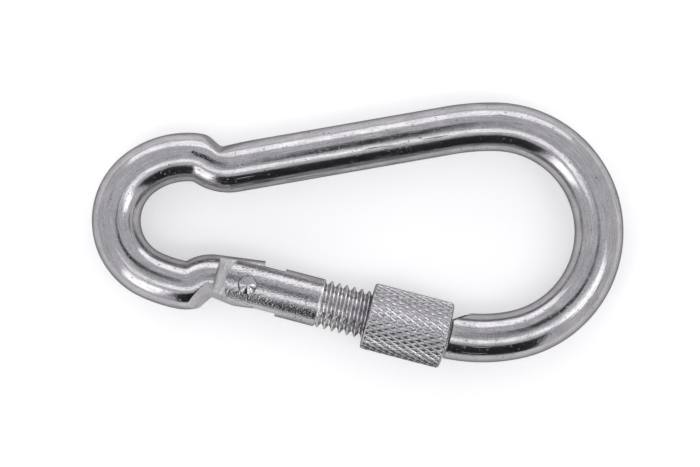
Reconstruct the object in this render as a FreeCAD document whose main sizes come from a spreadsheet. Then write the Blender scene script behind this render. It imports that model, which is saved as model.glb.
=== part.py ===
# Locking carabiner: steel snap hook of 11 mm bar, 120 mm long, with a screw nut on its gate.
#
# Row frame, millimetres: the loop lies flat in the XY plane, +X runs towards the large bow,
# +Y runs from the gate towards the spine, +Z is square to the loop. The origin is the centre
# of the whole hook. The gate, nut, rivet, plunger and spring are drawn in the gate's own frame:
# local x runs along the gate from the hinge, local y points into the loop, local z is row Z.

import FreeCAD
import Part
import Sketcher
import math
import os

Vec = FreeCAD.Vector

DIMENSIONS = {
    # bent bar
    "bar_d": 11.0,
    "nose_x": 19.8,
    "nose_y": -22.45,
    "spine_angle": 9.9,
    "nose_radius": 37.0,
    "nose_turn": 24.4,
    "bow_radius": 23.75,
    "bow_turn": 167.7,
    "bow_run_out_radius": 55.0,
    "bow_run_out_turn": 11.0,
    "spine_length": 49.15,
    "jog_in_radius": 8.5,
    "jog_in_turn": 43.4,
    "jog_out_radius": 6.7,
    "jog_out_turn": 29.2,
    "eye_top_radius": 18.0,
    "eye_top_turn": 40.7,
    "eye_side_radius": 13.5,
    "eye_side_turn": 119.1,
    "eye_foot_radius": 31.5,
    "eye_foot_turn": 12.9,
    "crank_up_radius": 5.8,
    "crank_up_turn": 41.0,
    "crank_down_radius": 5.8,
    "crank_down_turn": 37.0,
    "tongue_run": 14.0,
    # marks of the press: corner of each V, directions of its two walls, lean of the walls
    "jog_mark_x": -30.75,
    "jog_mark_y": 19.95,
    "jog_mark_left": 138.0,
    "jog_mark_right": 18.0,
    "jog_mark_lean": 18.0,
    "crank_mark_x": -33.0,
    "crank_mark_y": -14.2,
    "crank_mark_left": 221.0,
    "crank_mark_right": -22.0,
    "crank_mark_lean": 30.0,
    "mark_reach": 12.0,
    # hinge and tongue, distances along the gate from the hinge
    "hinge_x": -24.6,
    "hinge_y": -11.3,
    "gate_angle": 14.6,
    "tongue_thickness": 4.9,
    "tongue_shoulder": 7.5,
    "tongue_end": 2.4,
    "rivet_d": 4.3,
    "rivet_rim_drop": 0.5,
    "rivet_point_rise": 0.3,
    "tongue_hole_d": 4.44,
    # nose end and latch
    "nose_face_radius": 46.9,
    "nose_bevel_start": 46.5,
    "nose_bevel_height": 3.7,
    "nose_bevel_slope": 34.0,
    "latch_half_height": 3.0,
    "latch_neck_width": 2.2,
    "latch_head_width": 4.2,
    "latch_head_inner": 48.3,
    "latch_head_outer": 49.9,
    "latch_gap": 0.3,
    # gate
    "fork_end": 5.0,
    "fork_end_radius": 8.0,
    "slot_end": 7.4,
    "slot_width": 5.3,
    "spring_bore_d": 5.1,
    "spring_bore_end": 24.0,
    "thread_start": 16.4,
    "gate_end": 45.7,
    "gate_end_chamfer": 0.5,
    # screw thread
    "pitch": 1.75,
    "thread_crest": 0.22,
    "thread_depth": 1.05,
    "thread_gap": 0.16,
    "nut_bore_d": 9.5,
    "nut_thread_d": 11.3,
    # lock nut
    "nut_start": 27.75,
    "nut_length": 18.4,
    "nut_d": 15.2,
    "nut_chamfer": 0.7,
    "nut_counterbore": 5.5,
    "nut_counterbore_d": 12.4,
    # spring and plunger
    "plunger_tip": 2.45,
    "plunger_head_d": 4.7,
    "plunger_head_length": 8.55,
    "plunger_stem_d": 2.5,
    "plunger_stem_length": 4.0,
    "wire_d": 0.7,
    "coil_d": 4.0,
    "coil_turns": 7.0,
    "spring_start": 11.4,
    "spring_end": 23.6,
}

DIM = DIMENSIONS
doc = FreeCAD.newDocument("snap_hook")


def make_sheet():
    sheet = doc.addObject("Spreadsheet::Sheet", "dims")
    for row, (name, value) in enumerate(DIMENSIONS.items(), start=1):
        sheet.set(f"A{row}", name)
        sheet.set(f"B{row}", str(value))
        sheet.setAlias(f"B{row}", name)
    doc.recompute()
    return sheet


def cos_deg(angle):
    return math.cos(math.radians(angle))


def sin_deg(angle):
    return math.sin(math.radians(angle))


# ---------------------------------------------------------------- sketch helpers

def origin_part(body, role):
    return next(part for part in body.Origin.OriginFeatures if part.Role == role)


def new_body(name):
    body = doc.addObject("PartDesign::Body", name)
    body.Label = name
    return body


def place_on_gate(body):
    """Puts a body's origin on the hinge and its x axis along the closed gate."""
    body.Placement = FreeCAD.Placement(Vec(DIM["hinge_x"], DIM["hinge_y"], 0),
                                       FreeCAD.Rotation(Vec(0, 0, -1), DIM["gate_angle"]))
    body.setExpression("Placement.Base.x", "dims.hinge_x")
    body.setExpression("Placement.Base.y", "dims.hinge_y")
    body.setExpression("Placement.Rotation.Angle", "dims.gate_angle")


def new_sketch(body, name, role="XY_Plane"):
    sketch = body.newObject("Sketcher::SketchObject", name)
    sketch.AttachmentSupport = [(origin_part(body, role), "")]
    sketch.MapMode = "FlatFace"
    return sketch


def new_gate_sketch(body, name):
    """A sketch of the hook body that lies in the gate's frame."""
    sketch = new_sketch(body, name)
    sketch.AttachmentOffset = FreeCAD.Placement(Vec(DIM["hinge_x"], DIM["hinge_y"], 0),
                                                FreeCAD.Rotation(Vec(0, 0, -1), DIM["gate_angle"]))
    sketch.setExpression("AttachmentOffset.Base.x", "dims.hinge_x")
    sketch.setExpression("AttachmentOffset.Base.y", "dims.hinge_y")
    sketch.setExpression("AttachmentOffset.Rotation.Angle", "dims.gate_angle")
    return sketch


def value_of(formula):
    """The present value of a formula on the sheet's names."""
    return float(doc.getObject("dims").evalExpression(formula.replace("dims.", "")))


def drive(sketch, constraint, formula):
    index = sketch.addConstraint(constraint)
    sketch.setExpression(f"Constraints[{index}]", formula)


def polygon(sketch, corners):
    """A closed outline; each corner is a pair of formulas for its x and y."""
    points = [Vec(value_of(x), value_of(y), 0) for x, y in corners]
    count = len(points)
    lines = []
    for i in range(count):
        lines.append(sketch.addGeometry(Part.LineSegment(points[i], points[(i + 1) % count])))
    for i in range(count):
        after = lines[(i + 1) % count]
        sketch.addConstraint(Sketcher.Constraint("Coincident", lines[i], 2, after, 1))
    for i, (x, y) in enumerate(corners):
        locate(sketch, lines[i], 1, x, y)
    return lines


def locate(sketch, geometry, end, x, y):
    """Fixes an end point at the formulas x and y from the sketch's origin."""
    for kind, formula in (("DistanceX", x), ("DistanceY", y)):
        size = value_of(formula)
        if abs(size) < 1e-9:
            other_axis = -2 if kind == "DistanceX" else -1
            sketch.addConstraint(Sketcher.Constraint("PointOnObject", geometry, end, other_axis))
        else:
            drive(sketch, Sketcher.Constraint(kind, geometry, end, size), formula)


def circle(sketch, diameter):
    ring = sketch.addGeometry(Part.Circle(Vec(0, 0, 0), Vec(0, 0, 1), value_of(diameter) / 2))
    sketch.addConstraint(Sketcher.Constraint("Coincident", ring, 3, -1, 1))
    drive(sketch, Sketcher.Constraint("Diameter", ring, value_of(diameter)), diameter)


def ring_sector(sketch, inner, outer, bottom, top):
    """Outline between two arcs about the origin, from y = bottom up to y = top."""
    radii = [value_of(inner), value_of(outer)]
    heights = [value_of(bottom), value_of(top)]
    arcs = []
    for radius, formula in zip(radii, (inner, outer)):
        start = math.asin(heights[0] / radius)
        end = math.asin(heights[1] / radius)
        full = Part.Circle(Vec(0, 0, 0), Vec(0, 0, 1), radius)
        arc = sketch.addGeometry(Part.ArcOfCircle(full, start, end))
        sketch.addConstraint(Sketcher.Constraint("Coincident", arc, 3, -1, 1))
        drive(sketch, Sketcher.Constraint("Radius", arc, radius), formula)
        drive(sketch, Sketcher.Constraint("DistanceY", arc, 1, heights[0]), bottom)
        drive(sketch, Sketcher.Constraint("DistanceY", arc, 2, heights[1]), top)
        arcs.append(arc)
    for end, height in zip((1, 2), heights):
        xs = [math.sqrt(radius ** 2 - height ** 2) for radius in radii]
        line = sketch.addGeometry(Part.LineSegment(Vec(xs[0], height, 0), Vec(xs[1], height, 0)))
        sketch.addConstraint(Sketcher.Constraint("Coincident", line, 1, arcs[0], end))
        sketch.addConstraint(Sketcher.Constraint("Coincident", line, 2, arcs[1], end))


def pocket_through(body, sketch, name):
    cut = body.newObject("PartDesign::Pocket", name)
    cut.Profile = sketch
    cut.Type = "ThroughAll"
    cut.SideType = "Symmetric"
    return cut


def pocket_wide(body, sketch, name, width):
    """A pocket of the given width, half on each side of the sketch."""
    cut = body.newObject("PartDesign::Pocket", name)
    cut.Profile = sketch
    cut.SideType = "Symmetric"
    cut.setExpression("Length", width)
    return cut


def pad_wide(body, sketch, name, width):
    pad = body.newObject("PartDesign::Pad", name)
    pad.Profile = sketch
    pad.SideType = "Symmetric"
    pad.setExpression("Length", width)
    return pad


def revolve(body, sketch, name, axis="H_Axis", kind="Revolution"):
    turned = body.newObject(f"PartDesign::{kind}", name)
    turned.Profile = sketch
    turned.ReferenceAxis = (sketch, [axis])
    turned.Angle = 360
    return turned


# ---------------------------------------------------------------- hook

# the bar's centre line from the nose to the tongue: name and side of each bend
BENDS_BEFORE_SPINE = [("nose", 1), ("bow", 1), ("bow_run_out", 1)]
BENDS_AFTER_SPINE = [("jog_in", -1), ("jog_out", 1), ("eye_top", 1), ("eye_side", 1),
                     ("eye_foot", 1), ("crank_up", 1), ("crank_down", -1)]


class CentreLine:
    """Draws tangent lines and bends end to end in a sketch."""

    def __init__(self, sketch, x, y, heading):
        self.sketch = sketch
        self.point = Vec(x, y, 0)
        self.heading = heading
        self.last = None
        self.last_end = None

    def join(self, geometry, first_end):
        if self.last is not None:
            self.sketch.addConstraint(
                Sketcher.Constraint("Tangent", self.last, self.last_end, geometry, first_end))
        self.last = geometry
        self.last_end = 3 - first_end

    def bend(self, name, side):
        radius = DIM[f"{name}_radius"]
        turn = DIM[f"{name}_turn"]
        to_centre = self.heading + 90 * side
        centre = self.point + Vec(cos_deg(to_centre), sin_deg(to_centre), 0) * radius
        start = to_centre + 180
        angles = sorted((start, start + turn * side))
        full = Part.Circle(centre, Vec(0, 0, 1), radius)
        arc = self.sketch.addGeometry(
            Part.ArcOfCircle(full, math.radians(angles[0]), math.radians(angles[1])))
        self.join(arc, 1 if side > 0 else 2)
        drive(self.sketch, Sketcher.Constraint("Radius", arc, radius), f"dims.{name}_radius")
        drive(self.sketch, Sketcher.Constraint("Angle", arc, math.radians(turn)),
              f"dims.{name}_turn * 1 deg")
        end = start + turn * side
        self.point = centre + Vec(cos_deg(end), sin_deg(end), 0) * radius
        self.heading += turn * side
        return arc

    def straight(self, name):
        length = DIM[name]
        end = self.point + Vec(cos_deg(self.heading), sin_deg(self.heading), 0) * length
        line = self.sketch.addGeometry(Part.LineSegment(self.point, end))
        self.join(line, 1)
        drive(self.sketch, Sketcher.Constraint("Distance", line, length), f"dims.{name}")
        self.point = end
        return line


def draw_centre_line(body):
    sketch = new_sketch(body, "centre_line")
    turned = sum(DIM[f"{name}_turn"] for name, _ in BENDS_BEFORE_SPINE)
    path = CentreLine(sketch, DIM["nose_x"], DIM["nose_y"], 180 + DIM["spine_angle"] - turned)
    arcs = [path.bend(name, side) for name, side in BENDS_BEFORE_SPINE]
    locate(sketch, arcs[0], 1, "dims.nose_x", "dims.nose_y")
    spine = path.straight("spine_length")
    drive(sketch, Sketcher.Constraint("Angle", -1, 1, spine, 2, math.radians(DIM["spine_angle"])),
          "dims.spine_angle * 1 deg")
    for name, side in BENDS_AFTER_SPINE:
        path.bend(name, side)
    path.straight("tongue_run")
    return sketch


def add_press_mark(body, name):
    """A V pinched into the side of the bar; its walls lean outwards above and below."""
    corner_x, corner_y = f"dims.{name}_x", f"dims.{name}_y"
    corners = [(corner_x, corner_y)]
    for wall in ("left", "right"):
        direction = f"(dims.{name}_{wall} * 1 deg)"
        corners.append((f"{corner_x} + dims.mark_reach * cos{direction}",
                        f"{corner_y} + dims.mark_reach * sin{direction}"))
    outline = new_sketch(body, f"{name}_outline", "XY_Plane")
    polygon(outline, corners)
    front = body.newObject("PartDesign::Pocket", f"{name}_front")
    front.Profile = outline
    front.Type = "Length"
    front.Reversed = True
    front.setExpression("Length", "dims.bar_d / 2 + 0.5")
    front.setExpression("TaperAngle", f"dims.{name}_lean")
    body.Tip = front
    doc.recompute()
    back = body.newObject("PartDesign::Mirrored", f"{name}_back")
    back.Originals = [front]
    back.MirrorPlane = (origin_part(body, "XY_Plane"), [""])
    body.Tip = back
    doc.recompute()


def cut_tongue(body):
    flats = new_gate_sketch(body, "tongue_flats")
    flats.AttachmentOffset.Base.z = DIM["tongue_thickness"] / 2
    flats.setExpression("AttachmentOffset.Base.z", "dims.tongue_thickness / 2")
    polygon(flats, [("-dims.tongue_shoulder", "-dims.bar_d"),
                    ("2 * dims.tongue_shoulder", "-dims.bar_d"),
                    ("2 * dims.tongue_shoulder", "dims.bar_d"),
                    ("-dims.tongue_shoulder", "dims.bar_d")])
    front = body.newObject("PartDesign::Pocket", "tongue_front_flat")
    front.Profile = flats
    front.Type = "ThroughAll"
    front.Reversed = True
    body.Tip = front
    doc.recompute()
    back = body.newObject("PartDesign::Mirrored", "tongue_back_flat")
    back.Originals = [front]
    back.MirrorPlane = (origin_part(body, "XY_Plane"), [""])
    body.Tip = back
    doc.recompute()

    end = new_gate_sketch(body, "tongue_end_outline")
    polygon(end, [("dims.tongue_end", "-dims.bar_d"),
                  ("dims.tongue_end + 2 * dims.tongue_run", "-dims.bar_d"),
                  ("dims.tongue_end + 2 * dims.tongue_run", "dims.bar_d"),
                  ("dims.tongue_end", "dims.bar_d")])
    pocket_through(body, end, "tongue_end_face")

    hole = new_gate_sketch(body, "hinge_hole_outline")
    circle(hole, "dims.tongue_hole_d")
    pocket_through(body, hole, "hinge_hole")


def cut_nose(body):
    face = new_gate_sketch(body, "nose_face_outline")
    ring_sector(face, "dims.nose_face_radius - 3", "dims.nose_face_radius",
                "-dims.bar_d", "dims.bar_d")
    pocket_through(body, face, "nose_face")

    bevel = new_gate_sketch(body, "nose_bevel_outline")
    rise = "tan(dims.nose_bevel_slope * 1 deg)"
    polygon(bevel, [("dims.nose_bevel_start - 3", f"dims.nose_bevel_height - 3 * {rise}"),
                    ("dims.nose_bevel_start + 8", f"dims.nose_bevel_height + 8 * {rise}"),
                    ("dims.nose_bevel_start - 3", f"dims.nose_bevel_height + 8 * {rise}")])
    pocket_through(body, bevel, "nose_bevel")

    bottom = "-dims.latch_half_height - dims.latch_gap"
    neck = new_gate_sketch(body, "latch_neck_slot_outline")
    polygon(neck, [("dims.nose_face_radius - 3", bottom),
                   ("dims.latch_head_inner + 1", bottom),
                   ("dims.latch_head_inner + 1", "dims.bar_d"),
                   ("dims.nose_face_radius - 3", "dims.bar_d")])
    pocket_wide(body, neck, "latch_neck_slot", "dims.latch_neck_width + 2 * dims.latch_gap")

    head = new_gate_sketch(body, "latch_head_slot_outline")
    ring_sector(head, "dims.latch_head_inner - dims.latch_gap",
                "dims.latch_head_outer + dims.latch_gap", bottom, "dims.bar_d")
    pocket_wide(body, head, "latch_head_slot", "dims.latch_head_width + 2 * dims.latch_gap")


def make_hook():
    body = new_body("hook")
    path = draw_centre_line(body)
    doc.recompute()
    section = body.newObject("Sketcher::SketchObject", "bar_section")
    section.AttachmentSupport = [(path, "Edge1")]
    section.MapMode = "NormalToEdge"
    section.MapPathParameter = 0
    circle(section, "dims.bar_d")
    bar = body.newObject("PartDesign::AdditivePipe", "bent_bar")
    bar.Profile = section
    bar.Spine = (path, [])
    doc.recompute()
    add_press_mark(body, "jog_mark")
    add_press_mark(body, "crank_mark")
    cut_tongue(body)
    cut_nose(body)
    doc.recompute()
    return body


# ---------------------------------------------------------------- gate

def add_thread(body, name, root_radius, crest_radius, start, height, root_width, crest_width):
    """A helical groove cut along the body's x axis; widths are of the groove."""
    sketch = new_sketch(body, f"{name}_profile")
    polygon(sketch, [(f"{start} - {root_width} / 2", root_radius),
                     (f"{start} + {root_width} / 2", root_radius),
                     (f"{start} + {crest_width} / 2", crest_radius),
                     (f"{start} - {crest_width} / 2", crest_radius)])
    helix = body.newObject("PartDesign::SubtractiveHelix", name)
    helix.Profile = sketch
    helix.ReferenceAxis = (sketch, ["H_Axis"])
    helix.Mode = "pitch-height-angle"
    helix.setExpression("Pitch", "dims.pitch")
    helix.setExpression("Height", height)
    helix.Angle = 0
    helix.Reversed = False
    return helix


def round_fork_end(body):
    """Rounds the end of the fork in plan, so that it clears the tongue's shoulder."""
    sketch = new_sketch(body, "fork_end_outline")
    radius = DIM["fork_end_radius"]
    side = DIM["bar_d"] / 2 + 0.5
    half = math.asin(side / radius)
    full = Part.Circle(Vec(radius - DIM["fork_end"], 0, 0), Vec(0, 0, 1), radius)
    arc = sketch.addGeometry(Part.ArcOfCircle(full, math.pi - half, math.pi + half))
    ends = [sketch.getPoint(arc, 1), sketch.getPoint(arc, 2)]
    outer = -DIM["fork_end"] - 1
    corners = [ends[0], Vec(outer, side, 0), Vec(outer, -side, 0), ends[1]]
    lines = [sketch.addGeometry(Part.LineSegment(first, second))
             for first, second in zip(corners, corners[1:])]
    sketch.addConstraint(Sketcher.Constraint("Coincident", arc, 1, lines[0], 1))
    sketch.addConstraint(Sketcher.Constraint("Coincident", lines[0], 2, lines[1], 1))
    sketch.addConstraint(Sketcher.Constraint("Coincident", lines[1], 2, lines[2], 1))
    sketch.addConstraint(Sketcher.Constraint("Coincident", lines[2], 2, arc, 2))
    sketch.addConstraint(Sketcher.Constraint("Horizontal", lines[0]))
    sketch.addConstraint(Sketcher.Constraint("Horizontal", lines[2]))
    sketch.addConstraint(Sketcher.Constraint("PointOnObject", arc, 3, -1))
    drive(sketch, Sketcher.Constraint("Radius", arc, radius), "dims.fork_end_radius")
    drive(sketch, Sketcher.Constraint("DistanceX", arc, 3, radius - DIM["fork_end"]),
          "dims.fork_end_radius - dims.fork_end")
    locate(sketch, lines[1], 1, "-dims.fork_end - 1", "dims.bar_d / 2 + 0.5")
    drive(sketch, Sketcher.Constraint("DistanceY", lines[1], 2, -side), "-dims.bar_d / 2 - 0.5")
    drive(sketch, Sketcher.Constraint("DistanceX", lines[1], 2, outer), "-dims.fork_end - 1")
    pocket_through(body, sketch, "fork_end_face")


def make_gate():
    body = new_body("gate")
    place_on_gate(body)

    outline = new_sketch(body, "turned_outline")
    polygon(outline, [("-dims.fork_end", "0"),
                      ("dims.gate_end", "0"),
                      ("dims.gate_end", "dims.bar_d / 2 - dims.gate_end_chamfer"),
                      ("dims.gate_end - dims.gate_end_chamfer", "dims.bar_d / 2"),
                      ("-dims.fork_end", "dims.bar_d / 2")])
    revolve(body, outline, "turned_rod")
    doc.recompute()

    slope = "tan(30 * 1 deg)"
    root_width = f"(dims.pitch - dims.thread_crest - 2 * dims.thread_depth * {slope})"
    over = "0.1"
    add_thread(body, "thread", "dims.bar_d / 2 - dims.thread_depth", f"dims.bar_d / 2 + {over}",
               "(dims.thread_start + dims.pitch / 2)", "dims.gate_end - dims.thread_start",
               root_width, f"(dims.pitch - dims.thread_crest + 2 * {over} * {slope})")
    doc.recompute()

    slot = new_sketch(body, "fork_slot_outline")
    polygon(slot, [("-dims.fork_end - 2", "-dims.bar_d"),
                   ("dims.slot_end", "-dims.bar_d"),
                   ("dims.slot_end", "dims.bar_d"),
                   ("-dims.fork_end - 2", "dims.bar_d")])
    pocket_wide(body, slot, "fork_slot", "dims.slot_width")

    round_fork_end(body)
    hole = new_sketch(body, "rivet_hole_outline")
    circle(hole, "dims.rivet_d")
    pocket_through(body, hole, "rivet_hole")

    bore = new_sketch(body, "spring_bore_outline", "YZ_Plane")
    bore.AttachmentOffset.Base.z = DIM["spring_bore_end"]
    bore.setExpression("AttachmentOffset.Base.z", "dims.spring_bore_end")
    circle(bore, "dims.spring_bore_d")
    drill = body.newObject("PartDesign::Pocket", "spring_bore")
    drill.Profile = bore
    drill.setExpression("Length", "dims.spring_bore_end - dims.slot_end")

    neck = new_sketch(body, "latch_neck_outline")
    polygon(neck, [("dims.gate_end - 1", "-dims.latch_half_height"),
                   ("dims.latch_head_inner + 0.6", "-dims.latch_half_height"),
                   ("dims.latch_head_inner + 0.6", "dims.latch_half_height"),
                   ("dims.gate_end - 1", "dims.latch_half_height")])
    pad_wide(body, neck, "latch_neck", "dims.latch_neck_width")
    head = new_sketch(body, "latch_head_outline")
    ring_sector(head, "dims.latch_head_inner", "dims.latch_head_outer",
                "-dims.latch_half_height", "dims.latch_half_height")
    pad_wide(body, head, "latch_head", "dims.latch_head_width")
    doc.recompute()
    return body


# ---------------------------------------------------------------- rivet, nut, plunger, spring

def make_hinge_rivet():
    """A rivet whose ends are peened to a low point, with the rim below the bar's surface."""
    body = new_body("hinge_rivet")
    place_on_gate(body)
    outline = new_sketch(body, "rivet_outline", "XZ_Plane")
    top = "dims.bar_d / 2"
    polygon(outline, [("0", f"-{top} - dims.rivet_point_rise"),
                      ("dims.rivet_d / 2", f"-{top} + dims.rivet_rim_drop"),
                      ("dims.rivet_d / 2", f"{top} - dims.rivet_rim_drop"),
                      ("0", f"{top} + dims.rivet_point_rise")])
    revolve(body, outline, "rivet_shaft", "V_Axis")
    doc.recompute()
    return body


def make_lock_nut():
    body = new_body("lock_nut")
    place_on_gate(body)
    outline = new_sketch(body, "nut_outline")
    end = "dims.nut_start + dims.nut_length"
    outer = "dims.nut_d / 2"
    cut = "dims.nut_chamfer"
    lead_in = "(dims.nut_thread_d - dims.nut_bore_d) / 2"
    step = f"{end} - dims.nut_counterbore"
    polygon(outline, [("dims.nut_start", f"dims.nut_bore_d / 2 + {lead_in}"),
                      ("dims.nut_start", f"{outer} - {cut}"),
                      (f"dims.nut_start + {cut}", outer),
                      (f"{end} - {cut}", outer),
                      (end, f"{outer} - {cut}"),
                      (end, "dims.nut_counterbore_d / 2"),
                      (step, "dims.nut_counterbore_d / 2"),
                      (step, "dims.nut_thread_d / 2"),
                      (f"{step} - {lead_in}", "dims.nut_bore_d / 2"),
                      (f"dims.nut_start + {lead_in}", "dims.nut_bore_d / 2")])
    revolve(body, outline, "turned_sleeve")
    doc.recompute()

    slope = "tan(30 * 1 deg)"
    above_crest = "(dims.nut_thread_d - dims.bar_d) / 2"
    below_crest = "((dims.bar_d - dims.nut_bore_d) / 2 + 0.1)"
    base = "dims.thread_crest + 2 * dims.thread_gap"
    turns_to_nut = "ceil((dims.nut_start - dims.thread_start) / dims.pitch)"
    add_thread(body, "nut_thread", "dims.nut_bore_d / 2 - 0.1", "dims.nut_thread_d / 2",
               f"(dims.thread_start + dims.pitch * ({turns_to_nut} - 1))",
               f"dims.nut_length - dims.nut_counterbore + 2 * dims.pitch",
               f"({base} + 2 * {below_crest} * {slope})",
               f"({base} - 2 * {above_crest} * {slope})")
    doc.recompute()
    return body


def make_plunger():
    body = new_body("spring_plunger")
    place_on_gate(body)
    outline = new_sketch(body, "plunger_outline")
    head_end = "dims.plunger_tip + dims.plunger_head_length"
    stem_end = f"{head_end} + dims.plunger_stem_length"
    polygon(outline, [("dims.plunger_tip", "0"),
                      ("dims.plunger_tip", "dims.plunger_head_d / 2 - 0.2"),
                      ("dims.plunger_tip + 0.2", "dims.plunger_head_d / 2"),
                      (head_end, "dims.plunger_head_d / 2"),
                      (head_end, "dims.plunger_stem_d / 2"),
                      (stem_end, "dims.plunger_stem_d / 2"),
                      (stem_end, "0")])
    revolve(body, outline, "turned_plunger")
    doc.recompute()
    return body


def make_spring():
    body = new_body("gate_spring")
    place_on_gate(body)
    section = new_sketch(body, "wire_section")
    centre = Vec(DIM["spring_start"] + DIM["wire_d"] / 2, DIM["coil_d"] / 2, 0)
    ring = section.addGeometry(Part.Circle(centre, Vec(0, 0, 1), DIM["wire_d"] / 2))
    locate(section, ring, 3, "dims.spring_start + dims.wire_d / 2", "dims.coil_d / 2")
    drive(section, Sketcher.Constraint("Diameter", ring, DIM["wire_d"]), "dims.wire_d")
    coil = body.newObject("PartDesign::AdditiveHelix", "coil")
    coil.Profile = section
    coil.ReferenceAxis = (section, ["H_Axis"])
    coil.Mode = "height-turns-angle"
    coil.setExpression("Height", "dims.spring_end - dims.spring_start - dims.wire_d")
    coil.setExpression("Turns", "dims.coil_turns")
    coil.Angle = 0
    doc.recompute()
    return body


# ---------------------------------------------------------------- check and write

def check(objects):
    for item in doc.Objects:
        bad = [state for state in item.State if state in ("Invalid", "Error")]
        if bad:
            raise RuntimeError(f"{item.Name}: {bad}")
    for body in objects:
        if body.Shape.isNull() or not body.Shape.isValid():
            raise RuntimeError(f"{body.Label}: bad shape")
        if len(body.Shape.Solids) != 1:
            raise RuntimeError(f"{body.Label}: {len(body.Shape.Solids)} solids")


def write(objects):
    os.makedirs("parts", exist_ok=True)
    for body in objects:
        body.Shape.exportStep(f"parts/{body.Label}.step")
        box = body.Shape.BoundBox
        print(f"{body.Label}: volume {body.Shape.Volume:.1f}",
              f"x {box.XMin:.2f} {box.XMax:.2f} y {box.YMin:.2f} {box.YMax:.2f}",
              f"z {box.ZMin:.2f} {box.ZMax:.2f}")


make_sheet()
pieces = [make_hook(), make_gate(), make_hinge_rivet(), make_lock_nut(), make_plunger(),
          make_spring()]
doc.recompute()
check(pieces)
write(pieces)
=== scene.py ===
# Locking carabiner lying flat on a pale floor, seen from straight above.
# Sizes of the object are in millimetres and are turned into metres by MM. Lights, camera, boards
# and the scales in the materials are in metres.
#
# The hook, gate, lock nut and rivet are high-resolution meshes that stand for the CAD pieces of
# the same name. The plunger and the coil spring are shown as the CAD made them.

import math

import bmesh
import bpy
from mathutils import Matrix, Vector


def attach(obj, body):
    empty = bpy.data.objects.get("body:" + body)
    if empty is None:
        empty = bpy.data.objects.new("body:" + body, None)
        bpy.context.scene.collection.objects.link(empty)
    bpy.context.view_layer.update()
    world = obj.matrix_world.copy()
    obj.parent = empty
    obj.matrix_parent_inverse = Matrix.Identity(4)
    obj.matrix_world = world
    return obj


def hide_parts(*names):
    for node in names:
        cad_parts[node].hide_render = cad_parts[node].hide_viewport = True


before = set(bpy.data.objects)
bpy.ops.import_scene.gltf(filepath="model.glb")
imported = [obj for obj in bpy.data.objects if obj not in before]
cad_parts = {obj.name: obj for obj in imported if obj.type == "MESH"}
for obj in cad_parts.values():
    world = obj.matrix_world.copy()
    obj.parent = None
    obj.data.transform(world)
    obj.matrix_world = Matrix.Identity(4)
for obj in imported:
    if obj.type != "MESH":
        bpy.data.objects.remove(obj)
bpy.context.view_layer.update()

MM = 0.001

# bent bar
BAR_R = 5.5
NOSE_START = (19.8, -22.45)
SPINE_ANGLE = 9.9
SPINE_LENGTH = 49.15
TONGUE_RUN = 14.0
# bends from the nose to the tongue: radius, turn in degrees, side
BENDS_TO_SPINE = [(37.0, 24.4, 1), (23.75, 167.7, 1), (55.0, 11.0, 1)]
BENDS_TO_TONGUE = [(8.5, 43.4, -1), (6.7, 29.2, 1), (18.0, 40.7, 1), (13.5, 119.1, 1),
                   (31.5, 12.9, 1), (5.8, 41.0, 1), (5.8, 37.0, -1)]
# marks of the press: corner, directions of the two walls, lean of the walls, roundness
JOG_MARK = ((-30.75, 19.75), (138, 18), 18, 0.6)
CRANK_MARK = ((-33.0, -14.2), (221, -22), 30, 0.12)

# hinge, tongue and latch, in the gate's frame
HINGE = (-24.6, -11.3)
GATE_ANGLE = 14.6
TONGUE_HALF = 2.45
TONGUE_SHOULDER = -7.5
TONGUE_END = 2.4
RIVET_R = 2.15
RIVET_CLEARANCE = 0.07
RIVET_RIM = 5.0
RIVET_POINT = 5.8
RIVET_FACETS = [0.0, 0.14, -0.1, 0.1, -0.06, 0.16, 0.02, 0.16, -0.12, 0.1, 0.02, -0.16, 0.12, -0.14]
NOSE_FACE_R = 46.9
LATCH_INNER = 48.3
LATCH_OUTER = 49.9
LATCH_NECK_HALF = 1.1
LATCH_HEAD_HALF = 2.1
LATCH_HALF_HEIGHT = 3.0
LATCH_GAP = 0.3
# bevel across the nose's corner: a point on it and its slope
NOSE_BEVEL_START = 46.5
NOSE_BEVEL_HEIGHT = 3.7
NOSE_BEVEL_SLOPE = 34

# gate
FORK_END = -5.0
FORK_END_R = 8.0
SLOT_END = 7.4
SLOT_HALF = 2.65
BORE_R = 2.55
BORE_END = 24.0
THREAD_START = 16.4
GATE_END = 45.7
PITCH = 1.75
THREAD_ROOT = 4.45
THREAD_ROOT_FLAT = 0.32
THREAD_RUN_IN = 0.5
THREAD_GAP = 0.14

# lock nut
NUT_START = 27.75
NUT_LENGTH = 18.4
NUT_R = 7.6
NUT_BORE_R = 4.75
NUT_THREAD_R = 5.65
NUT_COUNTERBORE = 5.5
NUT_COUNTERBORE_R = 6.2
KNURL_COUNT = 36
KNURL_ANGLE = 24.0
KNURL_DEPTH = 0.28
KNURL_RIDGE_HALF = 0.23
KNURL_RISING_SHARE = 0.6

# a size that reaches clear through the bar from its middle, for cutters
THROUGH = 9.0
FLOOR = -7.65
FLOOR_REACH = 900

GATE_FRAME = (Matrix.Translation((HINGE[0] * MM, HINGE[1] * MM, 0))
              @ Matrix.Rotation(-math.radians(GATE_ANGLE), 4, "Z"))


# ---------------------------------------------------------------- mesh helpers

def mesh_object(name, vertices, faces, matrix=Matrix.Identity(4)):
    """A mesh object from millimetre coordinates, moved by a matrix in metres."""
    mesh = bpy.data.meshes.new(name)
    mesh.from_pydata([matrix @ (Vector(v) * MM) for v in vertices], [], faces)
    mesh.validate()
    made = bmesh.new()
    made.from_mesh(mesh)
    bmesh.ops.recalc_face_normals(made, faces=made.faces)
    made.to_mesh(mesh)
    made.free()
    obj = bpy.data.objects.new(name, mesh)
    bpy.context.collection.objects.link(obj)
    return obj


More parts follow.
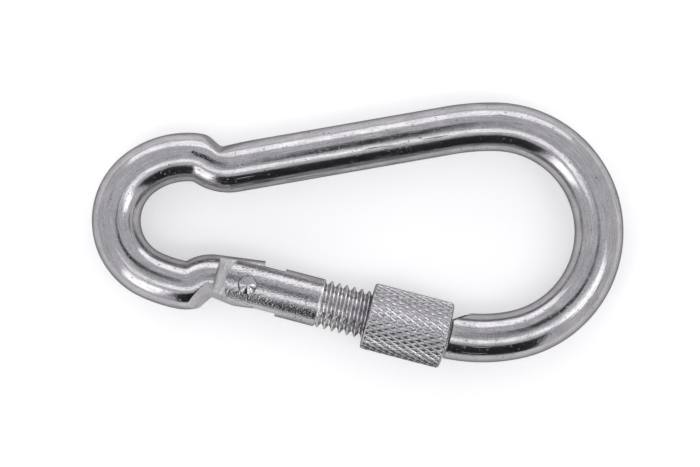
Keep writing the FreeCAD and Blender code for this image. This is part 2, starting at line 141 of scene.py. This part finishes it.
def grid(rows, columns, closed_rows=False, capped=True):
    """Faces of a tube of point rings; the last ring joins the first if closed_rows."""
    faces = []
    last = rows if closed_rows else rows - 1
    for i in range(last):
        for j in range(columns):
            a = i * columns + j
            b = i * columns + (j + 1) % columns
            c = ((i + 1) % rows) * columns + (j + 1) % columns
            d = ((i + 1) % rows) * columns + j
            faces.append((a, b, c, d))
    if capped and not closed_rows:
        faces.append(tuple(range(columns)))
        faces.append(tuple((rows - 1) * columns + j for j in range(columns)))
    return faces


def prism(points, low, high, matrix=GATE_FRAME):
    """An outline in the XY plane, drawn from height low to height high."""
    count = len(points)
    vertices = [(x, y, z) for z in (low, high) for x, y in points]
    return mesh_object("cutter", vertices, grid(2, count), matrix)


def lathe(profile, columns, matrix):
    """A closed solid turned about its local z axis from (radius, height) pairs."""
    vertices = []
    for radius, height in profile:
        for j in range(columns):
            angle = 2 * math.pi * j / columns
            vertices.append((radius * math.cos(angle), radius * math.sin(angle), height))
    return mesh_object("cutter", vertices, grid(len(profile), columns), matrix)


def combine(obj, other, operation="DIFFERENCE"):
    """Cuts or joins another mesh into obj and removes it."""
    step = obj.modifiers.new("combine", "BOOLEAN")
    step.operation = operation
    step.solver = "EXACT"
    step.object = other
    graph = bpy.context.evaluated_depsgraph_get()
    result = bpy.data.meshes.new_from_object(obj.evaluated_get(graph))
    obj.modifiers.clear()
    old = obj.data
    obj.data = result
    bpy.data.meshes.remove(old)
    bpy.data.objects.remove(other)


def arc_points(radius, low_y, high_y, count=24):
    """Points on an arc about the origin, to the right of it, from one height to another."""
    start, end = math.asin(low_y / radius), math.asin(high_y / radius)
    angles = [start + (end - start) * i / (count - 1) for i in range(count)]
    return [(radius * math.cos(a), radius * math.sin(a)) for a in angles]


def sector(inner, outer, low_y, high_y):
    """Outline between two arcs about the hinge."""
    return arc_points(inner, low_y, high_y) + arc_points(outer, low_y, high_y)[::-1]


def box_points(x0, x1, y0, y1):
    """Outline of a rectangle."""
    return [(x0, y0), (x1, y0), (x1, y1), (x0, y1)]


def soften(obj, width):
    """Small rounded edges, and smooth shading between them."""
    bevel = obj.modifiers.new("soft_edges", "BEVEL")
    bevel.width = width * MM
    bevel.segments = 2
    bevel.limit_method = "ANGLE"
    bevel.angle_limit = math.radians(38)
    bevel.use_clamp_overlap = True
    smooth(obj, 35)


def smooth(obj, angle):
    """Smooth shading, except over edges sharper than the angle."""
    for face in obj.data.polygons:
        face.use_smooth = True
    obj.data.set_sharp_from_angle(angle=math.radians(angle))


# ---------------------------------------------------------------- hook

def centre_line():
    """Points and headings of the bar's centre line from the nose to the tongue."""
    x, y = NOSE_START
    heading = 180 + SPINE_ANGLE - sum(turn for _, turn, _ in BENDS_TO_SPINE)
    stations = []

    def bend(radius, turn, side):
        nonlocal x, y, heading
        steps = max(4, math.ceil(max(turn / 1.5, radius * math.radians(turn) / 0.35)))
        to_centre = math.radians(heading + 90 * side)
        cx, cy = x + radius * math.cos(to_centre), y + radius * math.sin(to_centre)
        for i in range(steps):
            angle = to_centre + math.pi + math.radians(turn) * side * i / steps
            stations.append((cx + radius * math.cos(angle), cy + radius * math.sin(angle),
                             heading + turn * side * i / steps))
        end = to_centre + math.pi + math.radians(turn) * side
        x, y = cx + radius * math.cos(end), cy + radius * math.sin(end)
        heading += turn * side

    def straight(length):
        nonlocal x, y
        steps = math.ceil(length / 0.6)
        along = math.radians(heading)
        for i in range(steps):
            run = length * i / steps
            stations.append((x + run * math.cos(along), y + run * math.sin(along), heading))
        x, y = x + length * math.cos(along), y + length * math.sin(along)

    for radius, turn, side in BENDS_TO_SPINE:
        bend(radius, turn, side)
    straight(SPINE_LENGTH)
    for radius, turn, side in BENDS_TO_TONGUE:
        bend(radius, turn, side)
    straight(TONGUE_RUN)
    stations.append((x, y, heading))
    return stations


def swept_bar():
    """The round bar along its centre line, with a UV map of metres along and round the bar."""
    columns = 112
    stations = centre_line()
    vertices = []
    for x, y, heading in stations:
        side = math.radians(heading + 90)
        for j in range(columns):
            angle = 2 * math.pi * j / columns
            out = BAR_R * math.cos(angle)
            vertices.append((x + out * math.cos(side), y + out * math.sin(side),
                             BAR_R * math.sin(angle)))
    bar = mesh_object("hook_bar", vertices, grid(len(stations), columns))
    lengths = [0.0]
    for (ax, ay, _), (bx, by, _) in zip(stations, stations[1:]):
        lengths.append(lengths[-1] + math.hypot(bx - ax, by - ay))
    layer = bar.data.uv_layers.new(name="grain")
    for face in bar.data.polygons:
        rings = [v % columns for v in face.vertices]
        wraps = max(rings) - min(rings) > columns / 2
        for loop, v, ring in zip(face.loop_indices, face.vertices, rings):
            around = ring + columns if wraps and ring == 0 else ring
            layer.data[loop].uv = (lengths[v // columns] * MM,
                                   2 * math.pi * BAR_R * around / columns * MM)
    return bar


def soft_positive(value, width):
    """Like max(0, value), but rounded where it starts, over the width on both sides."""
    if abs(value) < width:
        return (value + width) ** 2 / (4 * width)
    return max(0.0, value)


def press_in(bar, mark):
    """Pushes the bar's surface in where a V with leaning walls was pinched into its side."""
    corner, walls, lean, roundness = mark
    outward = math.copysign(1, corner[1])
    for vertex in bar.data.vertices:
        x, y, z = vertex.co / MM
        run = x - corner[0]
        if abs(run) > 9 or outward * y < 10:
            continue
        depth = abs(z) * math.tan(math.radians(lean))
        left, right = (outward * run * math.tan(direction) - depth / abs(math.cos(direction))
                       for direction in map(math.radians, walls))
        wall = outward * corner[1] + left + soft_positive(right - left, 1.5 * roundness)
        y -= outward * soft_positive(outward * y - wall, roundness)
        vertex.co = Vector((x, y, z)) * MM


def make_hook():
    """The bent bar: press marks, flat tongue, rivet hole, nose face, bevel and latch slot."""
    bar = swept_bar()
    press_in(bar, JOG_MARK)
    press_in(bar, CRANK_MARK)
    for low, high in ((TONGUE_HALF, THROUGH), (-THROUGH, -TONGUE_HALF)):
        combine(bar, prism(box_points(TONGUE_SHOULDER, 15, -11, 11), low, high))
    combine(bar, prism(box_points(TONGUE_END, 30, -11, 11), -THROUGH, THROUGH))
    hole_r = RIVET_R + RIVET_CLEARANCE
    hole = [(hole_r, -THROUGH), (hole_r, THROUGH)]
    combine(bar, lathe(hole, 64, GATE_FRAME))
    combine(bar, prism(sector(NOSE_FACE_R - 3, NOSE_FACE_R, -11, 11), -THROUGH, THROUGH))
    rise = math.tan(math.radians(NOSE_BEVEL_SLOPE))
    left, right = NOSE_BEVEL_START - 3, NOSE_BEVEL_START + 8
    low, high = NOSE_BEVEL_HEIGHT - 3 * rise, NOSE_BEVEL_HEIGHT + 8 * rise
    combine(bar, prism([(left, low), (right, high), (left, high)], -THROUGH, THROUGH))
    floor = -LATCH_HALF_HEIGHT - LATCH_GAP
    half = LATCH_NECK_HALF + LATCH_GAP
    combine(bar, prism(box_points(43.9, LATCH_INNER + 1, floor, 11), -half, half))
    head = sector(LATCH_INNER - LATCH_GAP, LATCH_OUTER + LATCH_GAP, floor, 11)
    half = LATCH_HEAD_HALF + LATCH_GAP
    combine(bar, prism(head, -half, half))
    soften(bar, 0.12)
    return bar


# ---------------------------------------------------------------- gate

def thread_height(x, angle, root=THREAD_ROOT, crest=BAR_R, gap=0.0):
    """Radius of a right-hand thread; a gap moves its flanks outwards for the nut's thread."""
    turn = (x - THREAD_START - PITCH / 2) / PITCH - angle / (2 * math.pi)
    from_groove = abs(turn - round(turn)) * PITCH
    flank = THREAD_ROOT + (from_groove - THREAD_ROOT_FLAT / 2) / math.tan(math.radians(30)) + gap
    return min(max(flank, root), crest)


def revolved(name, rings, columns, shape):
    """A solid about the local x axis; shape(x, radius, angle) gives each point's radius."""
    vertices = []
    for x, radius in rings:
        for j in range(columns):
            angle = 2 * math.pi * j / columns
            r = shape(x, radius, angle)
            vertices.append((x, r * math.cos(angle), r * math.sin(angle)))
    return mesh_object(name, vertices, grid(len(rings), columns), GATE_FRAME)


def gate_rings():
    """Stations along the gate: its plain part and its threaded part."""
    rings = [(FORK_END, 0.02)]
    for i in range(48):
        rings.append((FORK_END + (THREAD_START - FORK_END) * i / 48, BAR_R))
    steps = round((GATE_END - THREAD_START) / (PITCH / 20))
    for i in range(steps + 1):
        rings.append((THREAD_START + (GATE_END - THREAD_START) * i / steps, BAR_R))
    return rings


def gate_radius(x, radius, angle):
    """Plain bar up to the thread's run-in, then the thread, with a chamfer at the end."""
    if x <= THREAD_START:
        return radius
    run_in = min(1.0, (x - THREAD_START) / THREAD_RUN_IN)
    cut = radius - thread_height(x, angle)
    end = THREAD_ROOT + 0.2 + (GATE_END - x)
    return min(radius - cut * run_in, end)


def make_gate():
    """The turned gate: rounded fork, slot, rivet hole, spring bore, thread and T latch."""
    gate = revolved("gate_rod", gate_rings(), 128, gate_radius)
    half = math.asin(6 / FORK_END_R)
    end = [(FORK_END - 2, -6), (FORK_END - 2, 6)]
    for i in range(33):
        angle = math.pi - half + 2 * half * i / 32
        end.append((FORK_END_R + FORK_END + FORK_END_R * math.cos(angle),
                    FORK_END_R * math.sin(angle)))
    combine(gate, prism(end, -THROUGH, THROUGH))
    slot = box_points(FORK_END - 2, SLOT_END, -THROUGH, THROUGH)
    combine(gate, prism(slot, -SLOT_HALF, SLOT_HALF))
    combine(gate, lathe([(RIVET_R, -THROUGH), (RIVET_R, THROUGH)], 64, GATE_FRAME))
    to_axis = GATE_FRAME @ Matrix.Rotation(math.pi / 2, 4, "Y")
    combine(gate, lathe([(BORE_R, SLOT_END - 1), (BORE_R, BORE_END)], 64, to_axis))
    neck = box_points(GATE_END - 1, LATCH_INNER + 0.6, -LATCH_HALF_HEIGHT, LATCH_HALF_HEIGHT)
    combine(gate, prism(neck, -LATCH_NECK_HALF, LATCH_NECK_HALF), "UNION")
    head = sector(LATCH_INNER, LATCH_OUTER, -LATCH_HALF_HEIGHT, LATCH_HALF_HEIGHT)
    combine(gate, prism(head, -LATCH_HEAD_HALF, LATCH_HEAD_HALF), "UNION")
    soften(gate, 0.1)
    return gate


# ---------------------------------------------------------------- lock nut

def wave(position):
    """0 between ridges and 1 on the ridge line; a ridge fills just under half of each step."""
    offset = abs(position - round(position))
    return max(0.0, 1 - offset / KNURL_RIDGE_HALF)


def knurl(x, angle):
    """Radius lost to the diamond knurl, whose two sets of ridges cross on the sleeve."""
    twist = x * math.tan(math.radians(KNURL_ANGLE)) / NUT_R
    falling = wave((angle - twist) * KNURL_COUNT / (2 * math.pi))
    rising = wave((angle + twist) * KNURL_COUNT / (2 * math.pi))
    ends = min(x - NUT_START, NUT_START + NUT_LENGTH - x)
    fade = min(1.0, max(0.0, (ends - 0.1) / 0.6))
    return KNURL_DEPTH * (1 - max(falling, KNURL_RISING_SHARE * rising)) * fade


def make_nut():
    """The knurled sleeve with rounded ends, an inner thread and a counterbore for the nose."""
    end = NUT_START + NUT_LENGTH
    step = end - NUT_COUNTERBORE
    round_r = 0.7
    rings = []
    for i in range(9):
        angle = math.pi / 2 * (1 - i / 8)
        rings.append((NUT_START + round_r * (1 - math.cos(math.pi / 2 - angle)),
                      NUT_R - round_r * (1 - math.sin(math.pi / 2 - angle)), "outside"))
    rings.sort()
    steps = 170
    length = NUT_LENGTH - 2 * round_r
    for i in range(1, steps):
        rings.append((NUT_START + round_r + length * i / steps, NUT_R, "outside"))
    rings += [(2 * NUT_START + NUT_LENGTH - x, r, part) for x, r, part in rings[8::-1]]
    rings.append((end, NUT_COUNTERBORE_R + 0.2, "plain"))
    rings.append((end - 0.2, NUT_COUNTERBORE_R, "plain"))
    rings.append((step, NUT_COUNTERBORE_R, "plain"))
    rings.append((step, NUT_THREAD_R, "plain"))
    inner = 140
    for i in range(inner + 1):
        rings.append((step - (step - NUT_START - 0.9) * i / inner, NUT_BORE_R, "thread"))
    rings.append((NUT_START, NUT_THREAD_R, "plain"))

    columns = KNURL_COUNT * 12
    vertices = []
    for x, radius, part in rings:
        twist = x * math.tan(math.radians(KNURL_ANGLE)) / NUT_R
        for j in range(columns):
            angle = 2 * math.pi * j / columns + twist
            r = radius
            if part == "outside":
                r -= knurl(x, angle)
            elif part == "thread":
                r = thread_height(x, angle, NUT_BORE_R, NUT_THREAD_R, THREAD_GAP * 2)
            vertices.append((x, r * math.cos(angle), r * math.sin(angle)))
    faces = grid(len(rings), columns, closed_rows=True)
    nut = mesh_object("lock_nut_sleeve", vertices, faces, GATE_FRAME)
    smooth(nut, 50)
    return nut


# ---------------------------------------------------------------- rivet

def rivet_height(radius, angle):
    """Height of the rivet's end: a low point with uneven hammered facets round it."""
    place = angle / (2 * math.pi) * len(RIVET_FACETS)
    first = int(place) % len(RIVET_FACETS)
    second = (first + 1) % len(RIVET_FACETS)
    rim = RIVET_FACETS[first] + (RIVET_FACETS[second] - RIVET_FACETS[first]) * (place - int(place))
    return RIVET_POINT - (RIVET_POINT - RIVET_RIM - rim) * radius / RIVET_R


def make_rivet():
    """The rivet through fork and tongue, alike on both ends."""
    columns = 140
    rings = [(RIVET_R * max(i, 0.1) / 24, 1) for i in range(25)]
    rings += [(radius, -1) for radius, _ in rings[::-1]]
    vertices = []
    for radius, side in rings:
        for j in range(columns):
            angle = 2 * math.pi * j / columns
            vertices.append((radius * math.cos(angle), radius * math.sin(angle),
                             side * rivet_height(radius, angle)))
    rivet = mesh_object("rivet_body", vertices, grid(len(rings), columns), GATE_FRAME)
    soften(rivet, 0.08)
    return rivet


# ---------------------------------------------------------------- materials

class Nodes:
    """Short calls for building one node tree."""

    def __init__(self, name):
        self.material = bpy.data.materials.new(name)
        self.material.use_nodes = True
        self.tree = self.material.node_tree
        self.shader = self.tree.nodes["Principled BSDF"]

    def add(self, kind, **values):
        node = self.tree.nodes.new(kind)
        for name, value in values.items():
            if name in node.inputs:
                node.inputs[name].default_value = value
            else:
                setattr(node, name, value)
        return node

    def link(self, source, target):
        self.tree.links.new(source, target)

    def noise(self, vector, scale, detail=4.0, roughness=0.55):
        node = self.add("ShaderNodeTexNoise", Scale=scale, Detail=detail, Roughness=roughness)
        self.link(vector, node.inputs["Vector"])
        return node.outputs["Fac"]

    def ramp(self, factor, low, high, dark=0.0, light=1.0):
        node = self.add("ShaderNodeMapRange")
        node.inputs["From Min"].default_value = low
        node.inputs["From Max"].default_value = high
        node.inputs["To Min"].default_value = dark
        node.inputs["To Max"].default_value = light
        self.link(factor, node.inputs["Value"])
        return node.outputs["Result"]

    def math(self, operation, a, b):
        node = self.add("ShaderNodeMath", operation=operation)
        for socket, value in zip(node.inputs, (a, b)):
            if isinstance(value, float):
                socket.default_value = value
            else:
                self.link(value, socket)
        return node.outputs[0]

    def bump(self, height, distance, strength=1.0, onto=None):
        node = self.add("ShaderNodeBump", Strength=strength, Distance=distance)
        self.link(height, node.inputs["Height"])
        if onto is not None:
            self.link(onto, node.inputs["Normal"])
        return node.outputs["Normal"]

    def scale(self, colour, factor):
        node = self.add("ShaderNodeMix", data_type="RGBA", blend_type="MULTIPLY")
        node.inputs[0].default_value = 1.0
        self.link(colour, node.inputs[6])
        self.link(factor, node.inputs[7])
        return node.outputs[2]

    def mix(self, factor, a, b):
        node = self.add("ShaderNodeMix", data_type="RGBA")
        self.link(factor, node.inputs[0])
        for socket, colour in ((node.inputs[6], a), (node.inputs[7], b)):
            if isinstance(colour, tuple):
                socket.default_value = colour
            else:
                self.link(colour, socket)
        return node.outputs[2]


def plated_steel(name, colour, dull, roughness, speckle, grain_uv=None, marks=False,
                 coarse=0.0):
    """Bright zinc plate: fine speckle, small pits, grain along the bar and dull patches."""
    n = Nodes(name)
    place = n.add("ShaderNodeTexCoord").outputs["Object"]
    along = place
    if grain_uv:
        uv = n.add("ShaderNodeUVMap", uv_map=grain_uv).outputs["UV"]
        stretch = n.add("ShaderNodeMapping")
        stretch.inputs["Scale"].default_value = (0.05, 1.0, 1.0)
        n.link(uv, stretch.inputs["Vector"])
        along = stretch.outputs["Vector"]
    n.shader.inputs["Metallic"].default_value = 1.0
    n.shader.inputs["Specular Tint"].default_value = (0.3, 0.28, 0.27, 1.0)

    patches = n.noise(place, 180.0)
    fine = n.noise(place, 5200.0, 3.0, 0.6)
    grain = n.noise(along, 3800.0, 5.0, 0.6)
    pits = n.math("MAXIMUM", n.noise(place, 1700.0, 2.0, 0.4), n.noise(along, 1300.0, 2.0, 0.4))
    pit_mask = n.ramp(pits, 0.67, 0.73)

    base = n.mix(n.ramp(patches, 0.35, 0.7), colour, dull)
    streaks = n.ramp(grain, 0.35, 0.68, 1.12, 0.8)
    specks = n.ramp(n.noise(place, 3000.0, 4.0, 0.7), 0.35, 0.7, 1.12, 0.84)
    base = n.scale(base, n.math("MULTIPLY", streaks, specks))
    base = n.mix(n.math("MULTIPLY", pit_mask, 0.6), base, (0.08, 0.08, 0.09, 1.0))
    rough = n.math("ADD", n.ramp(fine, 0.3, 0.7, roughness - 0.05, roughness + 0.08),
                   n.ramp(patches, 0.4, 0.75, 0.0, 0.09))
    normal = n.bump(fine, 0.00003, speckle)
    normal = n.bump(grain, 0.00001, 0.5, normal)
    normal = n.bump(pit_mask, 0.00004, 0.6, normal)
    normal = n.bump(n.noise(place, 420.0, 3.0), 0.00005, 0.4, normal)
    if coarse:
        normal = n.bump(n.noise(place, 2200.0, 2.0, 0.5), 0.00008, coarse, normal)
    if marks:
        mark = press_scratch(n, place)
        base = n.mix(mark, base, (0.02, 0.02, 0.025, 1.0))
        rough = n.math("MAXIMUM", rough, n.math("MULTIPLY", mark, 0.6))
        dents = n.math("MULTIPLY", n.noise(place, 800.0, 3.0, 0.6), crank_patch(n, place))
        normal = n.bump(dents, 0.0005, 0.7, normal)
    n.link(base, n.shader.inputs["Base Color"])
    n.link(rough, n.shader.inputs["Roughness"])
    n.link(normal, n.shader.inputs["Normal"])
    return n.material


def milled_steel(name, colour, dull):
    """The flat cheeks of the tongue, with the fine lines left across them by a mill."""
    n = Nodes(name)
    place = n.add("ShaderNodeTexCoord").outputs["Object"]
    n.shader.inputs["Metallic"].default_value = 1.0
    n.shader.inputs["Specular Tint"].default_value = (0.6, 0.58, 0.58, 1.0)
    turn = n.add("ShaderNodeMapping", vector_type="TEXTURE")
    turn.inputs["Rotation"].default_value = (0.0, 0.0, -math.radians(GATE_ANGLE))
    turn.inputs["Scale"].default_value = (1.0, 14.0, 1.0)
    n.link(place, turn.inputs["Vector"])
    fine = n.noise(place, 4200.0, 3.0, 0.6)
    lines = n.math("ADD", n.noise(turn.outputs["Vector"], 3600.0, 4.0, 0.6), fine)
    shade = n.mix(n.ramp(lines, 0.8, 1.2), colour, dull)
    n.link(shade, n.shader.inputs["Base Color"])
    n.link(n.ramp(fine, 0.3, 0.7, 0.34, 0.46), n.shader.inputs["Roughness"])
    n.link(n.bump(lines, 0.00003, 0.5), n.shader.inputs["Normal"])
    return n.material


def crank_patch(n, place):
    """1 on the bruised side of the crank, where the press held the bar, and 0 elsewhere."""
    shift = n.add("ShaderNodeMapping")
    shift.inputs["Location"].default_value = (0.0338, 0.0131, 0.0)
    shift.inputs["Scale"].default_value = (1.0, 0.8, 0.3)
    n.link(place, shift.inputs["Vector"])
    size = n.add("ShaderNodeVectorMath", operation="LENGTH")
    n.link(shift.outputs["Vector"], size.inputs[0])
    return n.ramp(size.outputs["Value"], 0.0017, 0.0036, 1.0, 0.0)


def press_scratch(n, place):
    """A black score across the jog, on the side that faces up."""
    apart = n.add("ShaderNodeMapping", vector_type="TEXTURE")
    apart.inputs["Location"].default_value = (-0.0346, 0.01725, 0.0)
    apart.inputs["Rotation"].default_value = (0.0, 0.0, -math.radians(27.5))
    n.link(place, apart.inputs["Vector"])
    split = n.add("ShaderNodeSeparateXYZ")
    n.link(apart.outputs["Vector"], split.inputs["Vector"])
    wobble = n.ramp(n.noise(place, 1500.0, 4.0), 0.3, 0.7, -0.00012, 0.00012)
    across = n.math("ABSOLUTE", n.math("ADD", split.outputs["Y"], wobble), 0.0)
    taper = n.ramp(split.outputs["X"], -0.0028, 0.003, 0.00048, 0.00012)
    line = n.ramp(n.math("DIVIDE", across, taper), 0.6, 1.0, 1.0, 0.0)
    length = n.ramp(n.math("ABSOLUTE", split.outputs["X"], 0.0), 0.0027, 0.003, 1.0, 0.0)
    top = n.ramp(split.outputs["Z"], 0.002, 0.003)
    ragged = n.ramp(n.noise(place, 3600.0, 3.0), 0.38, 0.5)
    return n.math("MULTIPLY", n.math("MULTIPLY", line, length), n.math("MULTIPLY", top, ragged))


def on_cheek(face):
    """True on the tongue's two flat cheeks."""
    level = abs(abs(face.center.z) - TONGUE_HALF * MM) < 0.02 * MM
    return level and abs(face.normal.z) > 0.999


def on_thread(face):
    """True on the cut part of the gate, past the start of its thread."""
    return (GATE_FRAME.inverted() @ face.center).x > THREAD_START * MM


def give(obj, material, second=None, takes_second=None):
    """Gives a piece its material, and the faces that takes_second picks a second one."""
    obj.data.materials.clear()
    obj.data.materials.append(material)
    if second is None:
        return
    obj.data.materials.append(second)
    for face in obj.data.polygons:
        if takes_second(face):
            face.material_index = 1


# ---------------------------------------------------------------- studio

def floor_and_light():
    """A pale floor, lit a little from itself so that it reads white, and a plain bright world."""
    outline = box_points(-FLOOR_REACH, FLOOR_REACH, -FLOOR_REACH, FLOOR_REACH)
    floor = mesh_object("floor", [(x, y, FLOOR) for x, y in outline], [(0, 1, 2, 3)])
    n = Nodes("floor_paper")
    n.shader.inputs["Roughness"].default_value = 0.9
    n.shader.inputs["Specular IOR Level"].default_value = 0.1
    place = n.add("ShaderNodeTexCoord").outputs["Object"]
    n.link(n.mix(n.noise(place, 900.0), (0.86, 0.86, 0.86, 1.0), (0.88, 0.88, 0.88, 1.0)),
           n.shader.inputs["Base Color"])
    n.shader.inputs["Emission Color"].default_value = (1.0, 1.0, 1.0, 1.0)
    n.shader.inputs["Emission Strength"].default_value = 0.3
    give(floor, n.material)

    world = bpy.data.worlds.new("studio")
    bpy.context.scene.world = world
    world.use_nodes = True
    world.node_tree.nodes["Background"].inputs["Color"].default_value = (0.97, 0.97, 1.0, 1.0)
    world.node_tree.nodes["Background"].inputs["Strength"].default_value = 0.84


def area_light(name, place, size, strength, target=(0, 0, 0)):
    """A soft box, given by its centre, its two sides and its surface brightness."""
    data = bpy.data.lights.new(name, "AREA")
    data.shape = "RECTANGLE"
    data.size, data.size_y = size
    data.energy = strength * math.pi * size[0] * size[1]
    light = bpy.data.objects.new(name, data)
    light.location = place
    light.rotation_euler = (Vector(target) - Vector(place)).to_track_quat("-Z", "Y").to_euler()
    bpy.context.collection.objects.link(light)


def dark_card(name, place, size, target=(0, 0, 0)):
    """A black board beside the lights, which gives the metal its dark bands."""
    half_x, half_y = (side / 2 / MM for side in size)
    turn = (Vector(target) - Vector(place)).to_track_quat("-Z", "Y").to_matrix().to_4x4()
    corners = [(x, y, 0) for x, y in box_points(-half_x, half_x, -half_y, half_y)]
    card = mesh_object(name, corners, [(0, 1, 2, 3)], Matrix.Translation(place) @ turn)
    n = Nodes(f"{name}_black")
    n.shader.inputs["Base Color"].default_value = (0.01, 0.01, 0.012, 1.0)
    n.shader.inputs["Roughness"].default_value = 0.9
    give(card, n.material)


def camera():
    """Straight above the carabiner, far enough for a flat view."""
    data = bpy.data.cameras.new("camera")
    view_width = 0.1582
    data.lens = 100
    data.sensor_width = 36
    eye = bpy.data.objects.new("camera", data)
    eye.location = (-0.0017, 0.0002, view_width * data.lens / data.sensor_width)
    eye.rotation_euler = (0, 0, 0)
    bpy.context.collection.objects.link(eye)
    bpy.context.scene.camera = eye


# ---------------------------------------------------------------- scene

STEEL = (0.47, 0.46, 0.478, 1.0)
DULL_STEEL = (0.38, 0.372, 0.385, 1.0)
MILLED = (0.72, 0.71, 0.72, 1.0)
# a lighter steel colour, which the gate's thread gets in place of the plain plate colour
LIGHTER_THREAD_STEEL = (0.76, 0.75, 0.76, 1.0)

hook = make_hook()
give(hook, plated_steel("hook_plate", STEEL, DULL_STEEL, 0.1, 0.28, "grain", marks=True),
     milled_steel("tongue_cheeks", MILLED, DULL_STEEL), on_cheek)
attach(hook, "hook")
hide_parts("hook")

gate = make_gate()
give(gate, plated_steel("gate_plate", STEEL, DULL_STEEL, 0.12, 0.35, coarse=0.8),
     plated_steel("thread_plate", LIGHTER_THREAD_STEEL, STEEL, 0.22, 0.2), on_thread)
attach(gate, "gate")
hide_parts("gate")

nut = make_nut()
give(nut, plated_steel("nut_plate", STEEL, DULL_STEEL, 0.2, 0.15))
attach(nut, "nut")
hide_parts("lock_nut")

rivet = make_rivet()
give(rivet, plated_steel("rivet_plate", STEEL, DULL_STEEL, 0.16, 0.2))
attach(rivet, "gate")
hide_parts("hinge_rivet")

WIRE = (0.3, 0.3, 0.31, 1.0)
give(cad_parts["spring_plunger"], plated_steel("plunger_plate", STEEL, WIRE, 0.25, 0.4))
give(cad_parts["gate_spring"], plated_steel("spring_wire", WIRE, WIRE, 0.3, 0.4))

floor_and_light()
area_light("back_light", (0.0, 0.47, 0.19), (0.9, 0.24), 1.15)
area_light("near_strip", (0.0, -0.15, 0.47), (0.5, 0.13), 1.05)
area_light("left_light", (-0.225, -0.255, 0.19), (0.15, 0.24), 1.8)
area_light("right_light", (0.33, -0.16, 0.42), (0.18, 0.2), 1.8)
dark_card("front_card", (0.025, -0.33, 0.17), (0.35, 0.33))
dark_card("overhead_arm", (0.0, 0.105, 0.49), (0.1, 0.22))
camera()
bpy.context.scene.view_settings.view_transform = "Standard"
